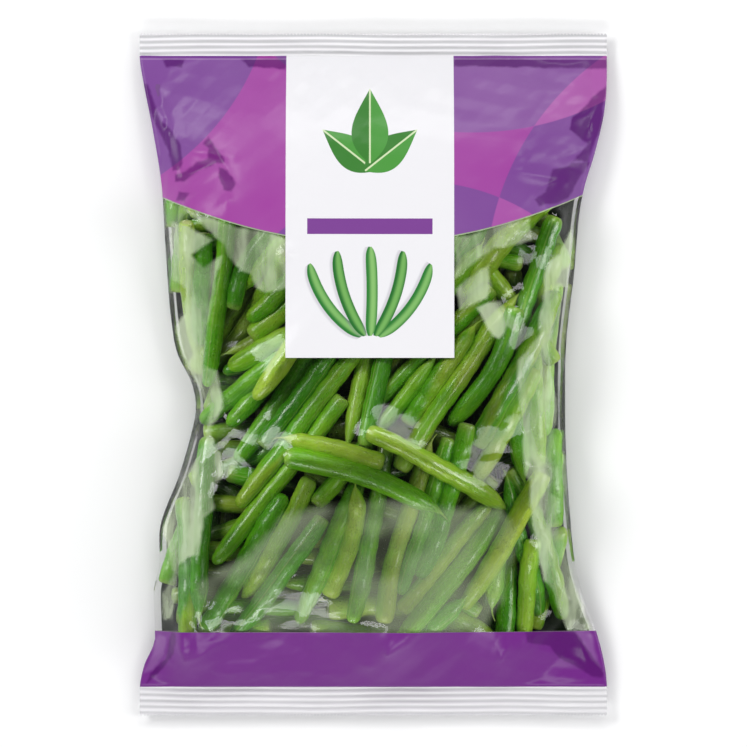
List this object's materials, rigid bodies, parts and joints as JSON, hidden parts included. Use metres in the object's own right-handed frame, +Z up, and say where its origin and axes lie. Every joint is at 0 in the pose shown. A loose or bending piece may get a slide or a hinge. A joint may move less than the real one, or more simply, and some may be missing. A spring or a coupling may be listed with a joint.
{
  "type": "bag of green beans",
  "caption": "Sealed clear film pillow bag with crimped ends, printed bands and a blank label panel, filled with loose trimmed green beans.",
  "frame": {"origin": "middle of the bag in plan, on the surface it lies on", "axes": "+X across the bag, +Y along the bag from its bottom seal to its top seal, +Z up, out of the bag's front"},
  "size_m": [0.21, 0.307, 0.0501],
  "materials": {
    "film": "clear glossy film, printed purple and white in places",
    "pod": "smooth, slightly waxy fresh pod skin, mid green to yellow green"
  },
  "bodies": {
    "root": {"bag_film": "film", "back_beans": "pod", "bean_01": "pod", "bean_02": "pod", "bean_03": "pod", "bean_04": "pod", "bean_05": "pod", "bean_06": "pod", "bean_07": "pod", "bean_08": "pod", "bean_09": "pod", "bean_10": "pod", "bean_11": "pod", "bean_12": "pod", "bean_13": "pod", "bean_14": "pod", "bean_15": "pod", "bean_16": "pod", "bean_17": "pod", "bean_18": "pod", "bean_19": "pod", "bean_20": "pod", "bean_21": "pod", "bean_22": "pod", "bean_23": "pod", "bean_24": "pod", "bean_25": "pod", "bean_26": "pod", "bean_27": "pod", "bean_28": "pod", "bean_29": "pod", "bean_30": "pod", "bean_31": "pod", "bean_32": "pod", "bean_33": "pod", "bean_34": "pod", "bean_35": "pod", "bean_36": "pod", "bean_37": "pod", "bean_38": "pod", "bean_39": "pod", "bean_40": "pod", "bean_41": "pod", "bean_42": "pod", "bean_43": "pod", "bean_44": "pod", "bean_45": "pod", "bean_46": "pod", "bean_47": "pod", "bean_48": "pod", "bean_49": "pod", "bean_50": "pod", "bean_51": "pod", "bean_52": "pod", "bean_53": "pod", "bean_54": "pod", "bean_55": "pod", "bean_56": "pod", "bean_57": "pod", "bean_58": "pod"}
  },
  "joints": []
}
